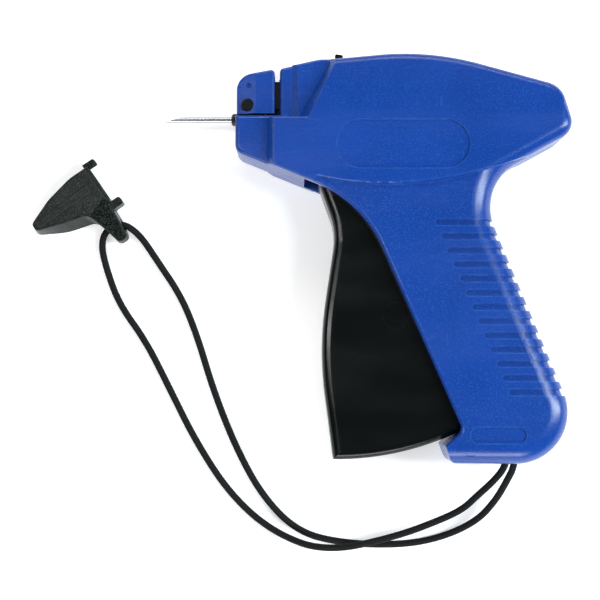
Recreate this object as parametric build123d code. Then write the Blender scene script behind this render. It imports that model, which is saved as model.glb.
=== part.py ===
"""Garment tagging gun lying on its right side, with its lanyard and needle cap.

Frame, in millimetres: +X towards the back of the gun, +Y towards its top, +Z out of its
left side. The origin is under the middle of the gun, on the surface it lies on.
"""

from build123d import *
from math import atan2, cos, degrees, hypot, pi, radians, sin, sqrt, tan
import os

os.makedirs("parts", exist_ok=True)

# Case
SPLIT_Z = 15.0          # plane where the two shells meet
BARREL_HALF = 15.0      # thickness of each half, from the split plane outwards
GRIP_HALF = 13.5
NOSE_HALF = 10.5
SADDLE_HALF = 9.0       # low step behind the clip slot
SADDLE_HIGH_HALF = 10.2
WALL = 2.3
CREASE_Y = 52.5         # above this line the barrel's side leans in
CREASE_TURN = -1.3      # degrees, slope of the crease line
LEAN = 0.11             # how fast the side leans in
GROOVES = 13
GROOVE_PITCH = 5.12
GROOVE_STEP = 2.17       # how far back each groove starts from the one above it
GROOVE_WIDTH = 2.5
GROOVE_DEPTH = 1.0
PANEL_DEPTH = 0.5
SEAM_WIDTH = 0.25
SEAM_DEPTH = 0.5

# Trigger and drive
TRIGGER_PIVOT = (-12.0, 30.0)
TRIGGER_REACH = 104.0   # radius of the trigger's foot about its pivot
TRIGGER_HALF = 9.5
TRIGGER_TRAVEL = 16.0   # degrees
TRIGGER_ROLLER = (9.4, -22.0)
LEVER_PIVOT = (9.0, -1.0)
LEVER_HALF = 3.0
SLIDE_PIN = (30.0, 49.0)
NEEDLE_Y = 51.6
PIN_PLAY = 0.05         # radial play of a pin that something turns on

# Needle, cap and cord
NEEDLE_R = 1.05
NEEDLE_TIP_X = -75.75
CORD_R = 1.3


def outline(corners, inset=0.0):
    """Face inside straight sides joined by arcs. corners are (x, y, radius), anticlockwise."""
    count = len(corners)
    sides = []
    for i in range(count):
        (x0, y0, _), (x1, y1, _) = corners[i], corners[(i + 1) % count]
        length = hypot(x1 - x0, y1 - y0)
        ux, uy = (x1 - x0) / length, (y1 - y0) / length
        sides.append((x0 - uy * inset, y0 + ux * inset, ux, uy))
    edges, starts, ends, arcs = [], [], [], []
    for i in range(count):
        ax, ay, aux, auy = sides[i - 1]
        bx, by, bux, buy = sides[i]
        cross = aux * buy - auy * bux
        along = ((bx - ax) * buy - (by - ay) * bux) / cross
        px, py = ax + aux * along, ay + auy * along
        radius = corners[i][2]
        if radius:
            radius = max(radius - inset, 0.0) if cross > 0 else radius + inset
        turn = atan2(cross, aux * bux + auy * buy)
        reach = radius * abs(tan(turn / 2))
        first = (px - aux * reach, py - auy * reach)
        last = (px + bux * reach, py + buy * reach)
        if radius > 0.01:
            side = 1 if cross > 0 else -1
            mx = px + side * (-auy) * radius - aux * reach
            my = py + side * aux * radius - auy * reach
            half = turn / 2
            dx, dy = first[0] - mx, first[1] - my
            middle = (mx + dx * cos(half) - dy * sin(half), my + dx * sin(half) + dy * cos(half))
            arcs.append(ThreePointArc(first, middle, last))
        else:
            arcs.append(None)
        starts.append(first)
        ends.append(last)
    for i in range(count):
        if arcs[i]:
            edges.append(arcs[i])
        nxt = starts[(i + 1) % count]
        if hypot(nxt[0] - ends[i][0], nxt[1] - ends[i][1]) > 1e-4:
            edges.append(Line(ends[i], nxt))
    return make_face(Curve() + edges)


def prism(corners, z0, z1, inset=0.0):
    return extrude(Plane.XY.offset(z0) * outline(corners, inset), z1 - z0)


def rod_z(x, y, r, z0, z1):
    return extrude(Plane.XY.offset(z0) * Pos(x, y) * Circle(r), z1 - z0)


def rod_x(y, z, r, x0, x1):
    return extrude(Plane.YZ.offset(x0) * Pos(y, z) * Circle(r), x1 - x0)


def block(x0, x1, y0, y1, z0, z1):
    return Pos((x0 + x1) / 2, (y0 + y1) / 2, (z0 + z1) / 2) * Box(x1 - x0, y1 - y0, z1 - z0)


def round_top(body, radius, keep=lambda edge: True):
    """Fillets the edges of the face that lies furthest out."""
    if radius <= 0.05:
        return body
    edges = body.faces().sort_by(Axis.Z)[-1].edges().filter_by(keep)
    return fillet(edges, radius)


def below_plane(body, point, normal):
    """Keeps the part of body on the side that normal points away from."""
    return split(body, bisect_by=Plane(origin=point, z_dir=normal), keep=Keep.BOTTOM)


# The case's outlines, shared by both shells. Each is larger than the case where another one
# of the same group bounds it.
NOSE = [(-49.1, 51.6, 0.5), (-49.1, 38.2, 4), (-30, 30.4, 0), (-30, 51.6, 0)]
SADDLE = [(-32.8, 43, 0), (-22, 43, 0), (-22, 71.5, 0), (-32.8, 69.0, 1.4)]
SADDLE_HIGH = [(-28.3, 43, 0), (-8, 43, 0), (-8, 72.3, 0), (-18, 72.3, 12), (-28.3, 70.0, 0)]
BARREL = [(-60, 15.9, 0), (20, 15.9, 0), (75.0, 45.6, 6.5), (70.0, 62.0, 9), (22, 75.6, 100),
          (-60, 67.6, 0)]
BARREL_LOW = [(-37.6, 50.2, 0), (-37.6, 33.5, 0), (-20.4, 26.5, 0), (-18.8, 28.4, 0),
              (15.2, 21.0, 118), (90, 48.0, 0), (90, 50.2, 0)]
BARREL_HIGH = [(-32.5, 42, 0), (100, 42, 0), (100, 80.5, 0), (-11, 80.5, 0)]
GRIP_FRONT = [(-24, 38, 0), (-24, 28.0, 0), (-2.9, 19.4, 45), (33.1, -63.2, 3.5),
              (26.7, -68.8, 0.6), (29.2, -75.5, 3.5), (110, -76.2, 0), (110, 38, 0)]
GRIP_BACK = [(-40, -75.1, 0), (81.4, -75.9, 19), (39.4, 26.4, 19), (66, 40.6, 0), (66, 52, 0),
             (-40, 52, 0)]


def grip_form(inset):
    z1 = SPLIT_Z + GRIP_HALF - inset
    front = round_top(prism(GRIP_FRONT, SPLIT_Z, z1, inset), 1.2 - inset,
                      lambda e: e.center().X < 60 and e.center().Y < 30)
    back = round_top(prism(GRIP_BACK, SPLIT_Z, z1, inset), 8.0 - inset,
                     lambda e: e.center().X > -30 and e.center().Y < 40)
    return front & back


def barrel_form(inset):
    z1 = SPLIT_Z + BARREL_HALF - inset
    rim = lambda e: e.center().X > -50 and e.center().Y > 17
    flat = round_top(prism(BARREL, SPLIT_Z, z1, inset), 4.0 - inset, rim)
    lean = Vector(0, LEAN, 1).rotate(Axis.Z, CREASE_TURN).normalized()
    tall = prism(BARREL, SPLIT_Z, z1 + 12, inset)
    crease = Vector(0, CREASE_Y, SPLIT_Z + BARREL_HALF) - lean * inset
    tilted = round_top(below_plane(tall, crease, lean), 3.0 - inset, rim)
    low = prism(BARREL_LOW, SPLIT_Z, z1, inset)
    low = below_plane(low, Vector(-37.6, 40, SPLIT_Z + NOSE_HALF) - Vector(-0.88, 0, 0.47) * inset,
                      Vector(-0.88, 0, 0.47))
    low = round_top(low, 0.9 - inset)
    high = prism(BARREL_HIGH, SPLIT_Z, z1, inset)
    diagonal = Vector(-0.70, 0.39, 0.60).normalized()
    high = below_plane(high, Vector(-27.2, 49.1, SPLIT_Z + SADDLE_HIGH_HALF - 0.4)
                       - diagonal * inset, diagonal)
    return (flat & tilted) & (low + high)


def saddle_form(inset):
    low = prism(SADDLE, SPLIT_Z, SPLIT_Z + SADDLE_HALF - inset, inset)
    high = prism(SADDLE_HIGH, SPLIT_Z, SPLIT_Z + SADDLE_HIGH_HALF - inset, inset)
    slope = Vector(-0.5, 0, 1).normalized()
    high = below_plane(high, Vector(-26.0, 60, SPLIT_Z + SADDLE_HIGH_HALF) - slope * inset, slope)
    return (round_top(low, 1.2 - inset, lambda e: e.center().Y > 50)
            + round_top(high, 1.0 - inset, lambda e: e.center().Y > 71.6))


def case_half(inset):
    nose = round_top(prism(NOSE, SPLIT_Z, SPLIT_Z + NOSE_HALF - inset, inset), 1.6 - inset,
                     lambda e: e.center().X < -31)
    saddle_inset = min(inset, 1.3)
    return nose + saddle_form(saddle_inset) + barrel_form(inset) + grip_form(inset)


def grooves():
    """Finger grooves that run back and round the grip's rear edge."""
    bars = []
    for i in range(GROOVES):
        x, y = 24.8 + GROOVE_STEP * i, 11.7 - GROOVE_PITCH * i
        bars.append(rod_z(x, y, GROOVE_WIDTH / 2, SPLIT_Z - 1, 40))
        bars.append(block(x, 95, y - GROOVE_WIDTH / 2, y + GROOVE_WIDTH / 2, SPLIT_Z - 1, 40))
    return (Part() + bars) - grip_form(GROOVE_DEPTH)


def stadium(x0, x1, y0, y1, z0, z1):
    r = (y1 - y0) / 2
    y = (y0 + y1) / 2
    return block(x0 + r, x1 - r, y0, y1, z0, z1) + rod_z(x0 + r, y, r, z0, z1) \
        + rod_z(x1 - r, y, r, z0, z1)


# (x, y, thickness of the half there)
SCREWS = [(-43.0, 41.5, NOSE_HALF), (-27.0, 37.0, BARREL_HALF), (46.0, 64.6, 13.6),
          (60.0, 43.5, BARREL_HALF), (34.0, 20.0, GRIP_HALF), (36.0, -70.0, GRIP_HALF - 0.3),
          (62.5, -63.0, GRIP_HALF)]
SCREW_R, HEAD_R, HEAD_LOW, HEAD_H = 1.25, 2.5, 1.2, 1.8


def trigger_mouth(z0, z1):
    """Opening in the grip's front that the trigger swings through."""
    x, y = TRIGGER_PIVOT
    strip = prism([(-20.8, 36, 0), (-30, 12, 0), (2, -90, 0), (60, -90, 0), (38, -55, 0),
                   (12, 8, 0), (0, 33, 0)], z0, z1)
    return strip & rod_z(x, y, TRIGGER_REACH + 0.8, z0, z1)


def case_shell():
    """The left shell; the right one is its mirror with screw holes in place of pilots."""
    body = case_half(0) - case_half(WALL)
    body -= grooves()
    body -= stadium(-12.0, 36.2, 31.2, 49.1, SPLIT_Z + BARREL_HALF - PANEL_DEPTH, 40)
    body -= stadium(35.7, 55.8, -68.1, -62.1, SPLIT_Z + GRIP_HALF - PANEL_DEPTH, 40)
    body -= trigger_mouth(SPLIT_Z - 1, SPLIT_Z + TRIGGER_HALF + 0.8)
    # way in for the clip guide and the top of the nose block
    body -= block(-40, -30, 47.5, 65.5, SPLIT_Z - 1, SPLIT_Z + 7.4)
    body -= block(-48, -30, 47.5, 54, SPLIT_Z - 1, SPLIT_Z + 7.4)
    body -= rod_x(NEEDLE_Y, SPLIT_Z, 2.65, -52, -44)
    # slot for the release tab and hole for the cord
    body -= block(-15.4, -8.8, 69, 80, SPLIT_Z - 1, SPLIT_Z + 1.8)
    body -= stadium_y(49.0, 55.3, -80, -70)
    return body


def stadium_y(x0, x1, y0, y1):
    r = 1.6
    mid = block(x0 + r, x1 - r, y0, y1, SPLIT_Z - r, SPLIT_Z + r)
    for x in (x0 + r, x1 - r):
        mid += extrude(Plane.XZ.offset(-y0) * Pos(x, SPLIT_Z) * Circle(r), -(y1 - y0))
    return mid


def pin_boss(x, y, r, hole, reach, depth):
    """Blind boss on a side wall, from depth (distance from the split plane) to the wall."""
    return rod_z(x, y, r, SPLIT_Z + depth, SPLIT_Z + reach), \
        rod_z(x, y, hole, SPLIT_Z + depth - 1, SPLIT_Z + reach - 0.4)


def with_pin_bosses(body):
    for x, y, r, hole, reach, depth in ((*TRIGGER_PIVOT, 4.0, 2.01, 14.0, 10.2),
                                        (66, 52, 3.0, 1.51, 13.8, 8.0)):
        boss, bore = pin_boss(x, y, r, hole, reach, depth)
        body = body + boss - bore
    return body


def left_shell():
    seam = (case_half(0) - case_half(SEAM_DEPTH)) & block(-80, 90, -90, 90, SPLIT_Z - 1,
                                                          SPLIT_Z + SEAM_WIDTH)
    body = with_pin_bosses(case_shell()) - seam
    for x, y, half in SCREWS:
        body += rod_z(x, y, 2.9, SPLIT_Z, SPLIT_Z + half - 1.2)
        body -= rod_z(x, y, SCREW_R + 0.02, SPLIT_Z - 1, SPLIT_Z + 7.3)
    return body


def right_shell():
    body = mirror(with_pin_bosses(case_shell()), Plane.XY.offset(SPLIT_Z))
    for x, y, half in SCREWS:
        outside = SPLIT_Z - half
        body += rod_z(x, y, 3.7, outside + 0.8, SPLIT_Z)
        body -= rod_z(x, y, SCREW_R + 0.1, outside, SPLIT_Z + 1)
        body -= rod_z(x, y, HEAD_R + 0.15, outside - 1, outside + HEAD_LOW + HEAD_H)
    return body


def case_screws():
    screws = []
    for x, y, half in SCREWS:
        seat = SPLIT_Z - half + HEAD_LOW + HEAD_H
        screw = rod_z(x, y, SCREW_R, seat, SPLIT_Z + 7) + rod_z(x, y, HEAD_R, seat - HEAD_H, seat)
        for spin in (0, 90):
            arm = Pos(x, y, seat - HEAD_H) * Rot(0, 0, spin) * Box(2.6, 0.6, 1.6)
            screw -= arm
        screws.append(screw)
    return Compound(children=screws)


COVER = [(-48.7, 52.4, 0), (-34.7, 52.4, 0), (-34.7, 68.9, 1.4), (-48.7, 66.4, 6)]
COVER_HALF, COVER_FRONT_HALF = 9.0, 7.4
LOCK = (-44.8, 55.6)


def nose_cover():
    """Hood over the front of the clip channel, open below and behind."""
    def hood(inset, back):
        low = [(x + (back if x > -40 else 0), y - (2 * inset if y < 53 else 0), r)
               for x, y, r in COVER]
        half = prism(low, SPLIT_Z, SPLIT_Z + COVER_HALF - inset, inset)
        drop = Vector(-(COVER_HALF - COVER_FRONT_HALF) / 7.0, 0, 1).normalized()
        half = below_plane(half, Vector(-41.7, 60, SPLIT_Z + COVER_HALF) - drop * inset, drop)
        return half
    outer = hood(0, 0)
    outer = fillet(outer.edges().filter_by(lambda e: e.center().Z > SPLIT_Z + 7
                                           and e.center().Y > 53
                                           and abs(e.center().X + 41.7) > 0.3), 1.0)
    half = outer - hood(1.3, 6)
    body = half + mirror(half, Plane.XY.offset(SPLIT_Z))
    body -= rod_z(*LOCK, 2.4, -5, 35)
    body -= rod_x(NEEDLE_Y, SPLIT_Z, 2.65, -52, -44)
    body -= rod_z(-44.4, 62.9, 1.1, SPLIT_Z + 7.7, 35)
    return body


def nose_block():
    """Seat that the needle's hub slides into, crossed by the lock's shaft."""
    body = block(-46.7, -39.0, 46.4, 58.4, 9.2, 20.8)
    body = chamfer(body.edges().filter_by(Axis.X), 1.0)
    body -= rod_x(NEEDLE_Y, SPLIT_Z, 2.4, -48, -38)
    body -= rod_z(*LOCK, 2.3 + PIN_PLAY, 0, 30)
    return body


def needle_lock():
    """Shaft across the nose with its thumb lever on the right side."""
    x, y = LOCK
    shaft = rod_z(x, y, 2.3, 2.6, SPLIT_Z + 8.9)
    shaft = chamfer(shaft.faces().sort_by(Axis.Z)[-1].edges(), 0.35)
    arm = prism([(x - 2.6, y + 2.6, 2.5), (x - 2.1, y - 12.5, 2.0), (x + 2.1, y - 12.5, 2.0),
                 (x + 2.6, y + 2.6, 2.5)], 1.6, 4.2)
    body = shaft + fillet(arm.faces().sort_by(Axis.Z)[0].edges(), 0.6)
    for k in range(3):
        body -= block(x - 2.6, x + 2.6, y - 11.2 + 1.5 * k, y - 10.5 + 1.5 * k, 0.5, 2.0)
    body -= block(x - 1.7, x + 1.7, y - 0.3, y + 0.3, SPLIT_Z + 8.4, SPLIT_Z + 9.5)
    return body


def needle():
    tube = rod_x(NEEDLE_Y, SPLIT_Z, NEEDLE_R, NEEDLE_TIP_X, -40)
    tube -= rod_x(NEEDLE_Y, SPLIT_Z, 0.75, NEEDLE_TIP_X - 1, -39)
    # bevelled point, cut back from the top
    point = Vector(NEEDLE_TIP_X, NEEDLE_Y - NEEDLE_R, SPLIT_Z)
    tube = below_plane(tube, point, Vector(-0.33, 1, 0).rotate(Axis.Z, 0).normalized())
    tube -= block(NEEDLE_TIP_X - 1, -52.5, NEEDLE_Y, NEEDLE_Y + 2, SPLIT_Z - 0.4, SPLIT_Z + 0.4)
    return tube


def needle_hub():
    body = rod_x(NEEDLE_Y, SPLIT_Z, 2.3, -50.9, -39.2)
    body = chamfer(body.faces().sort_by(Axis.X)[0].edges(), 0.6)
    body -= block(-47.2, -38, NEEDLE_Y + 1.6, NEEDLE_Y + 4, 10, 20)
    body -= rod_x(NEEDLE_Y, SPLIT_Z, NEEDLE_R + 0.01, -52, -38)
    return body


WHEEL = (59.5, 11.3)     # y and z of the feed wheel's axis
WHEEL_TEETH = 12


def clip_guide():
    """Channel that the fastener clip comes down, with the rod's bore at its foot."""
    wy, wz = WHEEL
    body = block(-37.8, -26.6, 54.4, 65.2, 7.8, 22.2) + block(-37.8, -26.6, 48.8, 55, 10, 20)
    body -= block(-36.6, -30.4, NEEDLE_Y, 70, 14.1, 15.9)
    body -= block(-34.7, -33.0, NEEDLE_Y + 1, 70, 5, 25) & block(-40, -20, 64.4, 70, 5, 25)
    body -= rod_x(wy, wz, 3.5, -36.6, -27.8)
    body -= block(-36.6, -27.8, wy - 2.6, wy + 2.6, 6, wz)
    body -= block(-30.6, -26, wy - 3.2, wy + 3.6, 13.0, 17.0)
    body -= rod_x(wy, wz, 1.0 + PIN_PLAY, -40, -26)
    body -= rod_x(NEEDLE_Y, SPLIT_Z, 0.78, -40, -26)
    return body


def toothed(radius, root, teeth, share, x0, x1):
    wy, wz = WHEEL
    disc = rod_x(wy, wz, root, x0, x1)
    for k in range(teeth):
        tooth = Pos(0, 0, (root + radius) / 2 - 0.1) * Box(x1 - x0, share, radius - root + 0.2)
        disc += Pos((x0 + x1) / 2, wy, wz) * Rot(360 / teeth * (k + 0.5), 0, 0) * tooth
    return disc


def feed_wheel():
    """Clip wheel and, behind it, the ratchet that the feed lever's pawl pushes."""
    body = toothed(3.2, 2.5, WHEEL_TEETH, 0.6, -36.3, -31.6)
    body += toothed(3.0, 2.2, WHEEL_TEETH, 0.5, -31.6, -28.2)
    return body - rod_x(*WHEEL, 0.99, -38, -27)


def feed_wheel_shaft():
    return rod_x(*WHEEL, 0.98, -37.7, -26.7)


LEVER_F = (-14.0, 64.0)   # pivot of the feed lever


def feed_lever():
    """Rocker whose nose is the pawl and whose tail rides on the slide."""
    x, y = LEVER_F
    wy, wz = WHEEL
    arm = prism([(x - 15.4, 61.6, 0.5), (x - 15.4, 59.4, 0.5), (x - 2, 61.0, 1), (x + 14, 58.7, 1),
                 (x + 18, 58.7, 1.2), (x + 18, 61.2, 1.2), (x + 2, 65.2, 2), (x - 2, 65.2, 2)],
                14.4, 16.4)
    body = arm + rod_z(x, y, 2.2, 13.2, 16.8)
    body += block(-30.4, -28.6, wy + 1.15, wy + 1.65, wz + 2.6, 15.0)
    return body - rod_z(x, y, 1.0 + PIN_PLAY, 5, 25)


def knife_blade():
    blade = block(-38.75, -38.05, 53.2, 60.0, 15.8, 20.0)
    return chamfer(blade.edges().filter_by(Axis.Z).sort_by(Axis.Y)[:1], 0.3)


FRAME_OUT, FRAME_IN = 7.0, 5.6   # faces of the frame's plates, from the split plane


def mechanism_frame():
    """Two plates that carry the slide's rails, the drive lever and the feed lever."""
    lx, ly = LEVER_PIVOT
    plate = [(-26.2, 45.0, 1), (2.5, 45.0, 3), (lx - 5, ly - 5, 5), (lx + 5, ly - 5, 5),
             (15.5, 45.0, 3), (42, 45.0, 1), (42, 60.4, 1), (-3.5, 60.4, 2), (-4.5, 70.5, 2),
             (-11, 70.5, 2), (-17.5, 67, 2), (-18.5, 60.4, 2), (-26.2, 60.4, 1)]
    z1 = SPLIT_Z + FRAME_OUT
    half = prism(plate, SPLIT_Z + FRAME_IN, z1)
    half -= stadium(-20, 6, 49.5, 54.5, SPLIT_Z, 30) + stadium(20, 37, 49.5, 54.5, SPLIT_Z, 30)
    for y0, y1 in ((45.0, 46.2), (58.6, 60.4)):
        half += block(-24, 42, y0, y1, SPLIT_Z + 3.6, z1 - 0.2) & block(-24, 42, 40, 70, 0, 30)
    for x, y, r in ((lx, ly, 1.5), (*LEVER_F, 1.0), (*TAB_PIVOT, 1.0)):
        half -= rod_z(x, y, r + 0.02, SPLIT_Z, 30)
    body = half + mirror(half, Plane.XY.offset(SPLIT_Z))
    front = block(-26.2, -24.6, 46.5, 56.5, SPLIT_Z - 6, SPLIT_Z + 6)
    return body + front - rod_x(NEEDLE_Y, SPLIT_Z, 0.78, -30, -20)


TAB_PIVOT = (-8.5, 67.6)


def release_tab():
    x, y = TAB_PIVOT
    flag = prism([(x - 1.6, y, 0), (x + 1.4, y, 0), (-9.2, 71.0, 1), (-9.4, 73.4, 0),
                  (-9.4, 75.8, 0.5), (-12.4, 76.25, 0.6), (-12.2, 73.8, 0), (-11.6, 72.0, 1)],
                 13.6, 16.4)
    return flag + rod_z(x, y, 2.0, 13.2, 16.8) - rod_z(x, y, 1.0 + PIN_PLAY, 5, 25)


def slide_carriage():
    """Block that runs in the frame's rails and carries the push rod."""
    px, py = SLIDE_PIN
    body = block(18, 38, 46.4, 57.4, SPLIT_Z - 5.2, SPLIT_Z + 5.2)
    body = chamfer(body.edges().filter_by(Axis.X), 0.5)
    body -= block(22.4, 36.0, 40, 55.8, SPLIT_Z - 3.4, SPLIT_Z + 3.4)
    body -= rod_z(px, py, 1.51, 5, 25)
    body -= rod_x(NEEDLE_Y, SPLIT_Z, 0.66, 10, 22.5)
    hook = block(38, 40.5, 50.6, 53.4, SPLIT_Z - 0.9, SPLIT_Z + 0.9)
    return body + hook - rod_z(39.4, 52, 0.5, 5, 25)


def slide_pin():
    return rod_z(*SLIDE_PIN, 1.5, SPLIT_Z - 5.1, SPLIT_Z + 5.1)


def push_rod():
    body = rod_x(NEEDLE_Y, SPLIT_Z, 0.65, -31.4, 22.3)
    return chamfer(body.faces().sort_by(Axis.X)[0].edges(), 0.15)


def drive_lever():
    """Rocker: its lower slot takes the trigger's roller, its fork moves the slide's pin."""
    px, py = LEVER_PIVOT
    sx, sy = SLIDE_PIN
    rx, ry = TRIGGER_ROLLER
    up = hypot(sx - px, sy - py)
    lean = degrees(atan2(sx - px, sy - py))
    down = hypot(rx - px, ry - py)
    z0, z1 = SPLIT_Z - LEVER_HALF, SPLIT_Z + LEVER_HALF
    top = prism([(-4.6, 0, 0), (4.6, 0, 0), (4.3, up + 1.8, 1), (-4.3, up + 1.8, 1)], z0, z1)
    top -= stadium_up(up - 7.5, up + 6, 2.15, z0 - 1, z1 + 1)
    top -= prism([(-2.2, 12, 1.5), (2.2, 12, 1.5), (2.0, up - 13, 1.5), (-2.0, up - 13, 1.5)],
                 SPLIT_Z + 1, z1 + 1)
    bottom = prism([(-5, -down - 4.6, 3), (5, -down - 4.6, 3), (4.6, 0, 0), (-4.6, 0, 0)], z0, z1)
    bottom -= Rot(0, 0, 180) * stadium_up(down - 3.6, down + 1.4, 2.15, z0 - 1, z1 + 1)
    swing = degrees(atan2(rx - px, -(ry - py)))
    body = Pos(px, py) * (Rot(0, 0, -lean) * top + Rot(0, 0, swing) * bottom)
    body += rod_z(px, py, 4.8, SPLIT_Z - 5.3, SPLIT_Z + 5.3)
    return body - rod_z(px, py, 1.5 + PIN_PLAY, 0, 30)


def stadium_up(y0, y1, r, z0, z1):
    return block(-r, r, y0, y1, z0, z1) + rod_z(0, y0, r, z0, z1) + rod_z(0, y1, r, z0, z1)


def trigger():
    x, y = TRIGGER_PIVOT
    foot = 36.0
    foot_y = y - sqrt(TRIGGER_REACH ** 2 - (foot - x) ** 2)
    corners = [(-18.6, 36.4, 6), (-18.6, 26.8, 2), (-12.2, 9.0, 25), (-18.6, -33.5, 125),
               (-12.6, -80, 0), (60, -80, 0), (foot, foot_y, 0), (8.0, 4, 20), (-1, 24, 6),
               (-5.4, 36.4, 6)]
    z0, z1 = SPLIT_Z - TRIGGER_HALF, SPLIT_Z + TRIGGER_HALF
    sweep = rod_z(x, y, TRIGGER_REACH, z0, z1)
    body = prism(corners, z0, z1) & sweep
    rim = body.edges().filter_by(lambda e: min(abs(e.center().Z - z0), abs(e.center().Z - z1))
                                 < 0.01 and (e.center().X < -11 or e.center().Y < -60))
    body = fillet(rim, 3.0)
    thick = 2.2
    inner = [(-18.6 + thick, 50, 0), (-18.6 + thick, 27.2, 1), (-12.2 + thick, 9.0, 23),
             (-18.6 + thick, -33.5, 125), (-12.6 + thick, -80, 0), (90, -80, 0), (90, 50, 0)]
    hollow = prism(inner, z0 + thick, z1 - thick) & rod_z(x, y, TRIGGER_REACH - thick, z0, z1)
    body -= hollow
    rx, ry = TRIGGER_ROLLER
    for z, out in ((z0, -1), (z1, 1)):
        ring = rod_z(rx, ry, 4.9, min(z, z + 0.3 * out), max(z, z + 0.3 * out))
        body += ring
    body -= rod_z(rx, ry, 1.52, z0 + 0.6, z1 - 0.6)
    return body - rod_z(x, y, 2.0 + PIN_PLAY, 0, 30)


def trigger_roller():
    return rod_z(*TRIGGER_ROLLER, 1.5, SPLIT_Z - TRIGGER_HALF + 0.7, SPLIT_Z + TRIGGER_HALF - 0.7)


def spring_shape():
    """Extension spring between the slide's hook and the post, lying along X."""
    x0, x1, r, wire = 42.0, 62.0, 2.6, 0.45
    path = Helix(pitch=1.25, height=x1 - x0, radius=r)
    coil = sweep(Plane(origin=path @ 0, z_dir=path % 0) * Circle(wire), path=path, is_frenet=True)
    coil = Pos(x0, 52, SPLIT_Z) * Rot(0, 90, 0) * coil
    return coil


CAP_AT, CAP_TURN = (-100.7, 27.8), 34.6
CAP_THICK = 12.0
CAP_WALL = 1.5
CAP_FALL = 0.13          # the top drops this fast towards the tip
# The guard's outline on the floor and at its full thickness: mouth, wedge, then the tail.
CAP_BASE = [(0, -9.8, 0), (0, 11.0, 0), (-8.4, 11.0, 20), (-20, 8.6, 20), (-30.4, 3.6, 2.2),
            (-30.4, -0.6, 2.4), (-20.5, -6.2, 25), (-9.3, -9.3, 4), (-7.6, -16, 8),
            (-6.6, -21.6, 1.9), (-2.4, -21.6, 1.9), (-0.9, -14.7, 6), (-0.6, -9.8, 0)]
CAP_TOP = [(0, -7.6, 0), (0, 7.9, 0), (-8.0, 7.9, 20), (-19, 5.7, 20), (-29.0, 2.2, 1.0),
           (-29.0, 0.0, 1.0), (-19.5, -2.9, 25), (-10.4, -6.0, 4), (-8.0, -13, 8),
           (-6.0, -20.6, 1.5), (-3.0, -20.6, 1.5), (-1.7, -13.5, 6), (-1.0, -7.6, 0)]
CAP_HOLLOW_BASE = [(5, -8.0, 0), (5, 9.3, 0), (-8.4, 9.3, 20), (-20, 6.6, 20), (-27.8, 3.0, 1.0),
                   (-27.8, 0.4, 1.0), (-20.0, -4.2, 20), (-10, -7.2, 4)]
CAP_HOLLOW_TOP = [(5, -5.8, 0), (5, 6.2, 0), (-8.0, 6.2, 20), (-18, 4.2, 20), (-25.0, 1.9, 0.6),
                  (-25.0, 0.5, 0.6), (-19.0, -1.2, 20), (-11, -4.4, 4)]


def needle_cap():
    """Wedge-shaped guard: hollow, two clip prongs at its mouth, a tail with the cord's eye."""
    def between(low, high, z0, z1):
        return loft([Plane.XY.offset(z0) * outline(low), Plane.XY.offset(z1) * outline(high)],
                    ruled=True)
    fall = Vector(-CAP_FALL, 0, 1).normalized()
    body = between(CAP_BASE, CAP_TOP, 0, CAP_THICK + 1)
    body = below_plane(body, Vector(0, 0, CAP_THICK), fall)
    body = below_plane(body, Vector(-5, -6.6, 11.2), Vector(0, -0.42, 1).normalized())
    body = below_plane(body, Vector(-1.1, 0, CAP_THICK - 0.14), Vector(1, 0, 0.9).normalized())
    body = fillet(body.edges().filter_by(lambda e: e.center().Z > 7.5 and e.center().X < -1.5),
                  0.8)
    strip = prism([(-27.6, -0.2, 0.4), (-4.2, -0.6, 0.3), (-4.2, 2.4, 0.3), (-27.6, 1.9, 0.4)],
                  6, CAP_THICK + 3)
    body += below_plane(strip, Vector(0, 0, CAP_THICK + 0.6), fall)
    body -= prism([(-28, 1.9, 0), (-4.2, 2.4, 0), (-4.2, 2.95, 0), (-28, 2.2, 0)], 0, 30) \
        - below_plane(block(-35, 5, -10, 10, -5, 30), Vector(0, 0, CAP_THICK - 0.5), fall)
    for y0, y1 in ((-10.3, -7.1), (7.0, 10.3)):
        prong = chamfer(block(-1.4, 3.6, y0, y1, 3.2, 8.8).faces().sort_by(Axis.X)[-1].edges(),
                        0.5)
        body += prong
    hollow = between(CAP_HOLLOW_BASE, CAP_HOLLOW_TOP, CAP_WALL, CAP_THICK)
    body -= below_plane(hollow, Vector(0, 0, CAP_THICK - CAP_WALL), fall)
    eye = Plane(origin=(-5, -15.6, 3.3), z_dir=(1, -0.19, 0))
    for dv in (-1.1, 0, 1.1):
        body -= Pos(0, dv, 0) * extrude(eye * Circle(1.75), 9, both=True)
    return Pos(*CAP_AT) * Rot(0, 0, CAP_TURN) * body


CRIMP_Y = (-73.1, -68.1)
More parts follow.
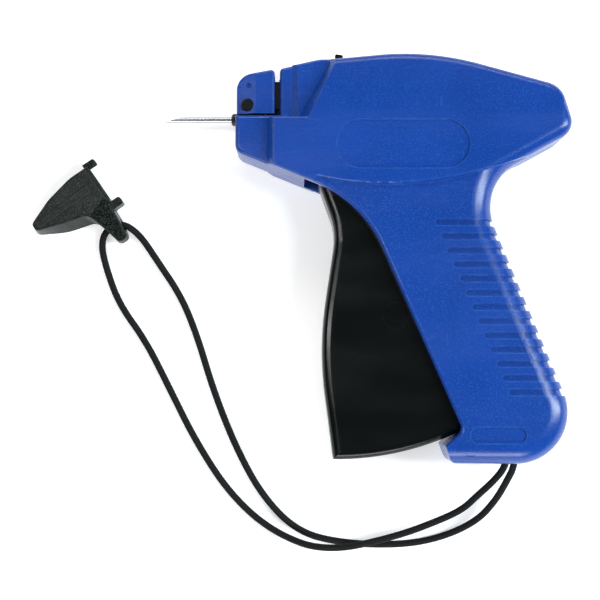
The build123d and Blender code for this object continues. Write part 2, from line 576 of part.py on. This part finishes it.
# One loop: out of the grip's foot, over itself, through the cap's eye and back.
CORD_ROUTE = [(50.7, -73.3, 15), (50.2, -77.2, 14.6), (45.5, -83.2, 12), (40.2, -88.2, 9.8),
              (35.6, -92.9, 8.2), (28.4, -96.7, 7.1), (10.8, -103.4, 6.9), (-16.0, -109.3, 6.9),
              (-36.0, -102.3, 1.3), (-52.0, -88.1, 1.3), (-65.0, -68.2, 1.3),
              (-74.9, -48.4, 1.3), (-84.0, -30.5, 1.3), (-94.3, -16.4, 1.3), (-99.3, -2.7, 1.3),
              (-101.2, 6.0, 1.9), (-99.3, 11.6, 3.2), (-93.3, 14.6, 3.2), (-86.6, 10.2, 1.9),
              (-79.5, -0.4, 1.3), (-70.3, -14.1, 1.3), (-64.2, -29.4, 1.3), (-58.5, -48.4, 1.3),
              (-50.1, -69.8, 1.3), (-39.8, -88.8, 1.3), (-26.5, -102.3, 1.3),
              (-9.7, -106.6, 1.3), (12.7, -107.3, 1.3), (28.1, -104.4, 1.3), (41.0, -98.2, 2.9),
              (47.6, -90.0, 7.0), (51.0, -82.5, 12.0), (53.4, -77.0, 14.7), (53.5, -73.3, 15)]


def cord_radii(route):
    radii = []
    for before, at, after in zip(route, route[1:], route[2:]):
        a, b = Vector(*at) - Vector(*before), Vector(*after) - Vector(*at)
        turn = radians(a.get_angle(b))
        radii.append(0.45 * min(a.length, b.length) / tan(turn / 2))
    return radii


def lanyard_cord():
    radii = cord_radii(CORD_ROUTE)
    path = FilletPolyline(*CORD_ROUTE, radius=radii)
    wire = Wire(path.edges())
    tube = sweep(Plane(origin=wire @ 0, z_dir=wire % 0) * Circle(CORD_R), path=wire)
    print("cord radii", [round(r, 1) for r in radii])
    print("cord length", round(wire.length, 1), "volume ratio",
          round(tube.volume / (pi * CORD_R ** 2 * wire.length), 4))
    return tube


def cord_crimp():
    """Sleeve that holds both ends of the cord inside the grip's foot."""
    y0, y1 = CRIMP_Y
    body = block(48.9, 55.3, y0, y1, SPLIT_Z - 2.0, SPLIT_Z + 2.0)
    return fillet(body.edges().filter_by(Axis.Y), 1.2)


PARTS = {
    "body_shell_left": left_shell, "body_shell_right": right_shell, "case_screws": case_screws,
    "nose_cover": nose_cover, "nose_block": nose_block, "needle_lock": needle_lock,
    "needle": needle, "needle_hub": needle_hub, "clip_guide": clip_guide,
    "feed_wheel": feed_wheel, "feed_wheel_shaft": feed_wheel_shaft, "feed_lever": feed_lever,
    "feed_lever_pin": lambda: rod_z(*LEVER_F, 1.0, SPLIT_Z - 7.2, SPLIT_Z + 7.2),
    "knife_blade": knife_blade, "mechanism_frame": mechanism_frame, "release_tab": release_tab,
    "release_tab_pin": lambda: rod_z(*TAB_PIVOT, 1.0, SPLIT_Z - 7.2, SPLIT_Z + 7.2),
    "slide_carriage": slide_carriage, "slide_pin": slide_pin, "push_rod": push_rod,
    "drive_lever": drive_lever,
    "drive_lever_pin": lambda: rod_z(*LEVER_PIVOT, 1.5, SPLIT_Z - 7.2, SPLIT_Z + 7.2),
    "trigger": trigger,
    "trigger_pin": lambda: rod_z(*TRIGGER_PIVOT, 2.0, SPLIT_Z - 13.5, SPLIT_Z + 13.5),
    "trigger_roller": trigger_roller, "return_spring": spring_shape,
    "spring_post": lambda: rod_z(66, 52, 1.5, SPLIT_Z - 13.3, SPLIT_Z + 13.3),
    "cord_crimp": cord_crimp, "lanyard_cord": lanyard_cord, "needle_cap": needle_cap,
}

for name, make in PARTS.items():
    shape = make()
    export_step(shape, f"parts/{name}.step")
    print(name, round(shape.volume))
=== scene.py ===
"""Looks of a price labeling gun that lies on its side, with its cord and needle cap.

The frame is in metres: +X to the back of the gun, +Y to its top, and +Z out of its left
side, which faces the camera. The floor is z = 0. Points typed in here are in millimetres.
"""
import math

import bpy
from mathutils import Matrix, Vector


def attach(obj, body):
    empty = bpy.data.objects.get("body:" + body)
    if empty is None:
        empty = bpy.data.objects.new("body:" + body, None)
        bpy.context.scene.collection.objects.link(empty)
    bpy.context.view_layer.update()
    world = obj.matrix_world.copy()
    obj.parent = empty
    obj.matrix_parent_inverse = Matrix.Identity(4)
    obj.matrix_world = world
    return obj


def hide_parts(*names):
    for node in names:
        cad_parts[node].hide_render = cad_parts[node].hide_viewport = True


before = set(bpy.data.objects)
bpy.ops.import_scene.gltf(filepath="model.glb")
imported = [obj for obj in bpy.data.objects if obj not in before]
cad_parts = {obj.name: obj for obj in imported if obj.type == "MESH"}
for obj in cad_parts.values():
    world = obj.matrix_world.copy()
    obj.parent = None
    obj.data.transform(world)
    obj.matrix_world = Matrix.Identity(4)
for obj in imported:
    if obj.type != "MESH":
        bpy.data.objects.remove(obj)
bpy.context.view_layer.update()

MM = 0.001
scene = bpy.context.scene


# ---------------------------------------------------------------- camera

AIM = Vector((-25.4, -15.7, 15.0)) * MM
CAMERA_AT = Vector((-25.4, -45.0, 500.0)) * MM
VIEW_WIDTH = 222.2 * MM          # at the gun's middle plane
SENSOR_WIDTH = 36

camera_data = bpy.data.cameras.new("camera")
camera_data.sensor_width = SENSOR_WIDTH
camera_data.lens = SENSOR_WIDTH * (CAMERA_AT - AIM).length / VIEW_WIDTH
camera_data.clip_start, camera_data.clip_end = 0.01, 20
camera = bpy.data.objects.new("camera", camera_data)
scene.collection.objects.link(camera)
camera.location = CAMERA_AT
camera.rotation_euler = (math.atan2(AIM.y - CAMERA_AT.y, CAMERA_AT.z - AIM.z), 0, 0)
scene.camera = camera
scene.view_settings.view_transform = "Standard"


# ---------------------------------------------------------------- materials

EDGE_FLAT, EDGE_SHARP = 0.995, 0.90   # cosine between the true and the rounded normal


class Nodes:
    """A material's node tree, with short calls for the nodes that the recipes below share."""

    def __init__(self, name):
        self.material = bpy.data.materials.new(name)
        self.material.use_nodes = True
        self.tree = self.material.node_tree
        self.shader = self.tree.nodes["Principled BSDF"]
        self.where = self.node("ShaderNodeTexCoord").outputs["Object"]

    def node(self, kind, **settings):
        made = self.tree.nodes.new(kind)
        for key, value in settings.items():
            setattr(made, key, value)
        return made

    def link(self, source, socket):
        self.tree.links.new(source, socket)

    def feed(self, socket, value):
        """Links value if it is a socket, and sets it as a fixed number or colour if not."""
        if isinstance(value, bpy.types.NodeSocket):
            self.link(value, socket)
        else:
            socket.default_value = value

    def stretched(self, scale):
        """Object coordinates with each axis scaled; a small number draws the pattern out."""
        made = self.node("ShaderNodeMapping")
        self.link(self.where, made.inputs["Vector"])
        made.inputs["Scale"].default_value = scale
        return made.outputs["Vector"]

    def noise(self, scale, detail=3.0, roughness=0.5, vector=None):
        made = self.node("ShaderNodeTexNoise")
        self.link(vector or self.where, made.inputs["Vector"])
        made.inputs["Scale"].default_value = scale
        made.inputs["Detail"].default_value = detail
        made.inputs["Roughness"].default_value = roughness
        return made.outputs["Fac"]

    def ramp(self, value, low, high, start=0.0, end=1.0):
        """Maps low..high to start..end, and stays at the ends outside it."""
        made = self.node("ShaderNodeMapRange")
        self.link(value, made.inputs["Value"])
        for key, number in (("From Min", low), ("From Max", high), ("To Min", start),
                            ("To Max", end)):
            made.inputs[key].default_value = number
        return made.outputs["Result"]

    def maths(self, operation, a, b=0.0):
        made = self.node("ShaderNodeMath", operation=operation)
        self.feed(made.inputs[0], a)
        self.feed(made.inputs[1], b)
        return made.outputs[0]

    def mix(self, share, a, b):
        made = self.node("ShaderNodeMix", data_type="RGBA")
        self.feed(made.inputs["Factor"], share)
        self.feed(made.inputs["A"], a)
        self.feed(made.inputs["B"], b)
        return made.outputs["Result"]

    def edges(self, radius):
        """1 along edges, within about radius of them, and 0 elsewhere."""
        bevel = self.node("ShaderNodeBevel", samples=4)
        bevel.inputs["Radius"].default_value = radius
        normal = self.node("ShaderNodeNewGeometry").outputs["Normal"]
        dot = self.node("ShaderNodeVectorMath", operation="DOT_PRODUCT")
        self.link(bevel.outputs["Normal"], dot.inputs[0])
        self.link(normal, dot.inputs[1])
        return self.ramp(dot.outputs["Value"], EDGE_FLAT, EDGE_SHARP)

    def bump(self, height, strength, distance, before=None):
        made = self.node("ShaderNodeBump")
        self.link(height, made.inputs["Height"])
        made.inputs["Strength"].default_value = strength
        made.inputs["Distance"].default_value = distance
        if before:
            self.link(before, made.inputs["Normal"])
        return made.outputs["Normal"]

    def finish(self, colour, roughness, normal, **fixed):
        """Feeds the shader; fixed holds other sockets, with _ for each space in a name."""
        self.feed(self.shader.inputs["Base Color"], colour)
        self.feed(self.shader.inputs["Roughness"], roughness)
        self.link(normal, self.shader.inputs["Normal"])
        for key, value in fixed.items():
            self.shader.inputs[key.replace("_", " ")].default_value = value
        return self.material


GRAIN_STRENGTH = 0.5
FLOW_DEPTH, FLOW_STRENGTH = 0.08 * MM, 0.04
EDGE_WEAR_AND_HIGHLIGHT = 0.6 * MM             # width of the lightened edges of plastic: wear from rubbing and a painted highlight
SCUFF_FADE, SCUFF_ROUGHNESS = 0.25, 0.15


def moulded(name, colour, wear_and_highlight, roughness, grain=2600, grain_depth=0.03 * MM, painted_glint=0.0,
            gloss=0.5, ior=1.5, glint_scale=2300):
    """Injection-moulded plastic: fine spark texture with painted glints, faint flow marks, edges
    lightened by wear from rubbing and by a painted highlight.
    """
    n = Nodes(name)
    cloud = n.noise(38, 4)
    fine = n.noise(grain, 2, 0.6)
    flow = n.noise(90, 3, 0.5, n.stretched((0.25, 1.0, 1.0)))
    scuffs = n.ramp(n.noise(260, 2, 0.7, n.stretched((1.0, 0.06, 1.0))), 0.66, 0.74)
    scuffs = n.maths("MULTIPLY", scuffs, n.ramp(n.noise(55, 2), 0.52, 0.66))
    dark = [c * 0.92 for c in colour] + [1]
    light = [min(c * 1.1 + 0.0005, 1) for c in colour] + [1]
    body = n.mix(n.ramp(cloud, 0.3, 0.7), dark, light)
    if painted_glint:
        # Painted glints: light spots in the colour stand in for the sparkle of the spark texture.
        glint_specks = n.ramp(n.noise(glint_scale, 1, 0.6), 0.5, 0.72)
        body = n.mix(n.maths("MULTIPLY", glint_specks, painted_glint), body, [*wear_and_highlight, 1])
    # Painted highlight and wear: edges are lightened towards the lighter colour, partly as wear
    # from rubbing and partly as a painted highlight on the rounded edges.
    rubbed_and_highlit = n.maths("MULTIPLY", n.edges(EDGE_WEAR_AND_HIGHLIGHT),
                     n.ramp(n.noise(300, 3), 0.35, 0.65, 0.3, 0.8))
    faded_and_highlit = n.maths("MAXIMUM", rubbed_and_highlit, n.maths("MULTIPLY", scuffs, SCUFF_FADE))
    body = n.mix(faded_and_highlit, body, [*wear_and_highlight, 1])
    rough = n.maths("ADD", n.ramp(flow, 0.3, 0.7, roughness - 0.05, roughness + 0.06),
                    n.maths("MULTIPLY", scuffs, SCUFF_ROUGHNESS))
    normal = n.bump(fine, GRAIN_STRENGTH, grain_depth)
    normal = n.bump(flow, FLOW_STRENGTH, FLOW_DEPTH, normal)
    return n.finish(body, rough, normal, IOR=ior, Specular_IOR_Level=gloss)


STEEL_EDGE = 0.3 * MM            # width of the brighter edges of metal


def steel(name, colour, roughness, along=(1.0, 1.0, 1.0), tarnish=0.25):
    """Ground or plated steel; a small number in along draws its lines out on that axis."""
    n = Nodes(name)
    lines = n.noise(1800, 2, 0.6, n.stretched(along))
    spots = n.noise(420, 3, 0.6)
    dull = [c * 0.55 for c in colour] + [1]
    shade = n.mix(n.maths("MULTIPLY", n.ramp(spots, 0.5, 0.7), tarnish), [*colour, 1], dull)
    shade = n.mix(n.maths("MULTIPLY", n.edges(STEEL_EDGE), 0.4), shade,
                  [min(c * 1.25, 1) for c in colour] + [1])
    rough = n.ramp(lines, 0.3, 0.7, roughness * 0.75, roughness * 1.3)
    normal = n.bump(lines, 0.25, 0.02 * MM)
    return n.finish(shade, rough, normal, Metallic=1.0)


BLUE = (0.004, 0.043, 0.272)
# The second colour of each is the lighter one used for scuffs, edge wear, painted edge highlights
# and painted glints.
case_blue = moulded(
    "case_blue", BLUE, (0.03, 0.13, 0.48), 0.24, grain_depth=0.07 * MM, painted_glint=0.26,
    gloss=0.42, glint_scale=1500)
trigger_black = moulded(
    "trigger_black", (0.0016, 0.0026, 0.0028), (0.010, 0.013, 0.014), 0.2, gloss=0.3)
cap_black = moulded(
    "cap_black", (0.0025, 0.0034, 0.0032), (0.062, 0.08, 0.072), 0.3, grain=1500,
    grain_depth=0.05 * MM, painted_glint=0.7, gloss=0.2, ior=1.3)
part_black = moulded(
    "part_black", (0.0022, 0.0024, 0.0026), (0.02, 0.02, 0.021), 0.3, gloss=0.3)
acetal = moulded("acetal", (0.62, 0.61, 0.56), (0.7, 0.69, 0.64), 0.42)
needle_steel = steel("needle_steel", (0.42, 0.43, 0.45), 0.2, (0.04, 1.0, 1.0), 0.15)
pin_steel = steel("pin_steel", (0.56, 0.57, 0.59), 0.3)
zinc = steel("zinc", (0.5, 0.51, 0.53), 0.42, tarnish=0.5)

MATERIAL_OF = {
    "body_shell_left": case_blue, "body_shell_right": case_blue, "nose_cover": case_blue,
    "trigger": trigger_black, "needle_cap": cap_black, "needle": needle_steel,
    "nose_block": part_black, "needle_lock": part_black, "needle_hub": part_black,
    "clip_guide": part_black, "release_tab": part_black,
    "feed_wheel": acetal, "feed_lever": acetal, "slide_carriage": acetal, "drive_lever": acetal,
    "case_screws": zinc, "mechanism_frame": zinc, "cord_crimp": zinc,
}
for name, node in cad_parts.items():
    material = MATERIAL_OF.get(name, pin_steel)
    if not node.material_slots:
        node.data.materials.append(material)
    for place in node.material_slots:
        place.material = material


# ---------------------------------------------------------------- cord

CORD_D = 2.6 * MM
ROUTE = [(50.7, -73.3, 15), (50.2, -77.2, 14.6), (45.5, -83.2, 12), (40.2, -88.2, 9.8),
         (35.6, -92.9, 8.2), (28.4, -96.7, 7.1), (10.8, -103.4, 6.9), (-16.0, -109.3, 6.9),
         (-36.0, -102.3, 1.3), (-52.0, -88.1, 1.3), (-65.0, -68.2, 1.3), (-74.9, -48.4, 1.3),
         (-84.0, -30.5, 1.3), (-94.3, -16.4, 1.3), (-99.3, -2.7, 1.3), (-101.2, 6.0, 1.9),
         (-99.3, 11.6, 3.2), (-93.3, 14.6, 3.2), (-86.6, 10.2, 1.9), (-79.5, -0.4, 1.3),
         (-70.3, -14.1, 1.3), (-64.2, -29.4, 1.3), (-58.5, -48.4, 1.3), (-50.1, -69.8, 1.3),
         (-39.8, -88.8, 1.3), (-26.5, -102.3, 1.3), (-9.7, -106.6, 1.3), (12.7, -107.3, 1.3),
         (28.1, -104.4, 1.3), (41.0, -98.2, 2.9), (47.6, -90.0, 7.0), (51.0, -82.5, 12.0),
         (53.4, -77.0, 14.7), (53.5, -73.3, 15)]


SPLINE_STEPS = 24


def spline_points(route):
    """Points along the NURBS curve whose control points are route."""
    data = bpy.data.curves.new("cord_route", "CURVE")
    data.dimensions = "3D"
    spline = data.splines.new("NURBS")
    spline.points.add(len(route) - 1)
    for point, at in zip(spline.points, route):
        point.co = (*(c * MM for c in at), 1)
    spline.order_u = 3
    spline.use_endpoint_u = True
    spline.resolution_u = SPLINE_STEPS
    carrier = bpy.data.objects.new("cord_route", data)
    scene.collection.objects.link(carrier)
    bpy.context.view_layer.update()
    mesh = bpy.data.meshes.new_from_object(
        carrier.evaluated_get(bpy.context.evaluated_depsgraph_get()))
    points = [v.co.copy() for v in mesh.vertices]
    bpy.data.meshes.remove(mesh)
    bpy.data.objects.remove(carrier)
    return points


def resample(points, step):
    """The same line with points evenly spaced, about step apart, and its length."""
    along = [0.0]
    for a, b in zip(points, points[1:]):
        along.append(along[-1] + (b - a).length)
    count = max(2, round(along[-1] / step))
    even, i = [], 0
    for k in range(count + 1):
        target = along[-1] * k / count
        while i < len(along) - 2 and along[i + 1] < target:
            i += 1
        share = (target - along[i]) / max(along[i + 1] - along[i], 1e-12)
        even.append(points[i].lerp(points[i + 1], min(share, 1)))
    return even, along[-1]


BRAID_STRANDS = 8        # crossing strands round the sleeve
BRAID_PITCH = 7.0 * MM   # length of one full turn of a strand
BRAID_RELIEF = 0.12      # depth of the valleys between strands, as a share of the radius
SIDES = 32               # points round the tube


def braided(name, points, radius):
    """Tube mesh whose surface carries two sets of crossing strands."""
    verts, faces = [], []
    normal = Vector((0, 0, 1))
    travelled = 0.0
    for i, at in enumerate(points):
        ahead = points[min(i + 1, len(points) - 1)] - points[max(i - 1, 0)]
        tangent = ahead.normalized()
        normal = (normal - tangent * normal.dot(tangent)).normalized()
        side = tangent.cross(normal)
        if i:
            travelled += (at - points[i - 1]).length
        turn = 2 * math.pi * travelled / BRAID_PITCH
        for k in range(SIDES):
            angle = 2 * math.pi * k / SIDES
            right = math.cos(BRAID_STRANDS / 2 * (angle + turn))
            left = math.cos(BRAID_STRANDS / 2 * (angle - turn))
            height = max(abs(right), abs(left)) ** 2
            r = radius * (1 - BRAID_RELIEF + BRAID_RELIEF * height)
            verts.append(at + (normal * math.cos(angle) + side * math.sin(angle)) * r)
    rings = len(points)
    for i in range(rings - 1):
        for k in range(SIDES):
            a, b = i * SIDES + k, i * SIDES + (k + 1) % SIDES
            faces.append((a, b, b + SIDES, a + SIDES))
    faces.append(tuple(reversed(range(SIDES))))
    faces.append(tuple(range((rings - 1) * SIDES, rings * SIDES)))
    mesh = bpy.data.meshes.new(name)
    mesh.from_pydata(verts, [], faces)
    mesh.update()
    for face in mesh.polygons:
        face.use_smooth = True
    made = bpy.data.objects.new(name, mesh)
    scene.collection.objects.link(made)
    return made


def cord_black():
    n = Nodes("cord_black")
    fuzz = n.noise(5200, 2, 0.7)
    patch = n.noise(120, 3)
    colour = n.mix(n.ramp(fuzz, 0.35, 0.7), (0.0015, 0.0017, 0.002, 1), (0.007, 0.0075, 0.009, 1))
    colour = n.mix(n.ramp(patch, 0.5, 0.8, 0, 0.3), colour, (0.012, 0.012, 0.014, 1))
    rough = n.ramp(fuzz, 0.3, 0.7, 0.6, 0.8)
    return n.finish(colour, rough, n.bump(fuzz, 0.6, 0.08 * MM), Specular_IOR_Level=0.2)


RING_STEP = 0.25 * MM            # distance between the rings of the cord's mesh

line, cord_length = resample(spline_points(ROUTE), RING_STEP)
cord = braided("lanyard", line, CORD_D / 2)
cord.data.materials.append(cord_black())
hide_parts("lanyard_cord")
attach(cord, "case")


# ---------------------------------------------------------------- floor and light

FLOOR_HALF = 3.0
FLOOR_GAP = 0.1 * MM             # keeps the floor clear of the faces that rest on it


def floor():
    """White paper that glows faintly, so that it stays white at the edges of the view."""
    mesh = bpy.data.meshes.new("floor")
    s = FLOOR_HALF
    mesh.from_pydata([(-s, -s, 0), (s, -s, 0), (s, s, 0), (-s, s, 0)], [], [(0, 1, 2, 3)])
    made = bpy.data.objects.new("floor", mesh)
    made.location.z = -FLOOR_GAP
    scene.collection.objects.link(made)
    n = Nodes("floor_paper")
    soft = n.noise(9, 3)
    colour = n.mix(n.ramp(soft, 0.3, 0.7), (0.84, 0.84, 0.84, 1), (0.88, 0.88, 0.88, 1))
    mesh.materials.append(n.finish(
        colour, 0.9, n.bump(n.noise(900, 2), 0.1, 0.05 * MM), Emission_Color=(1, 1, 1, 1),
        Emission_Strength=0.4))


TARGET = Vector((0, 0, 0.01))    # every light points here


def softbox(name, at, size, power, colour=(1, 1, 1)):
    """Rectangular area light at the point at; size is its width and length, power in watts."""
    data = bpy.data.lights.new(name, "AREA")
    data.shape, data.size, data.size_y = "RECTANGLE", *size
    data.energy = power
    data.color = colour
    made = bpy.data.objects.new(name, data)
    made.location = at
    made.rotation_euler = (TARGET - Vector(at)).to_track_quat("-Z", "Y").to_euler()
    scene.collection.objects.link(made)


floor()
world = bpy.data.worlds.new("studio")
scene.world = world
world.use_nodes = True
background = world.node_tree.nodes["Background"]
background.inputs["Color"].default_value = (1, 1, 1, 1)
background.inputs["Strength"].default_value = 0.07
softbox("left", (-0.56, 0.05, 0.98), (0.12, 0.9), 4.2)
softbox("right", (0.88, 0.0, 0.76), (0.22, 0.9), 15.0, (0.85, 0.97, 1.0))
softbox("front", (-0.1, -0.9, 0.36), (0.9, 0.3), 7.0)
softbox("back", (0.0, 0.9, 0.6), (0.9, 0.35), 5.2)
